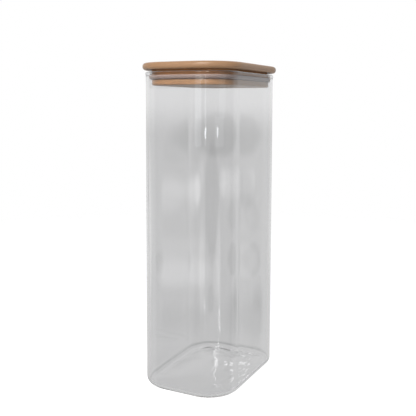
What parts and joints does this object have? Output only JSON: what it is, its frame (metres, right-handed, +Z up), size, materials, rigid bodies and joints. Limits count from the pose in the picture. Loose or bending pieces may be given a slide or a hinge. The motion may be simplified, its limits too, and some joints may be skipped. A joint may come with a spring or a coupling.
{
  "type": "pantry jar",
  "caption": "Tall oblong glass storage jar with rounded corners, a lift-off bamboo lid and a flared silicone seal.",
  "frame": {"origin": "middle of the base, on the surface that the jar stands on", "axes": "+Z up along the jar, the way the lid lifts off; +X across the narrow width, out of a long side; +Y along the depth, out of a narrow side"},
  "size_m": [0.105, 0.145, 0.3225],
  "materials": {
    "glass": "clear blown glass, faint grey",
    "bamboo_plate": "satin bamboo with fine straight grain",
    "bamboo_plug": "satin bamboo, a little darker",
    "silicone": "matt, milky"
  },
  "bodies": {
    "jar": {"glass_jar": "glass"},
    "lid": {"lid_plate": "bamboo_plate", "lid_plug": "bamboo_plug", "seal_ring": "silicone"}
  },
  "joints": [
    {"name": "lid_lift", "type": "slide", "parent": "jar", "child": "lid", "axis": [0, 0, 1], "range_m": [0, 0.1]}
  ]
}
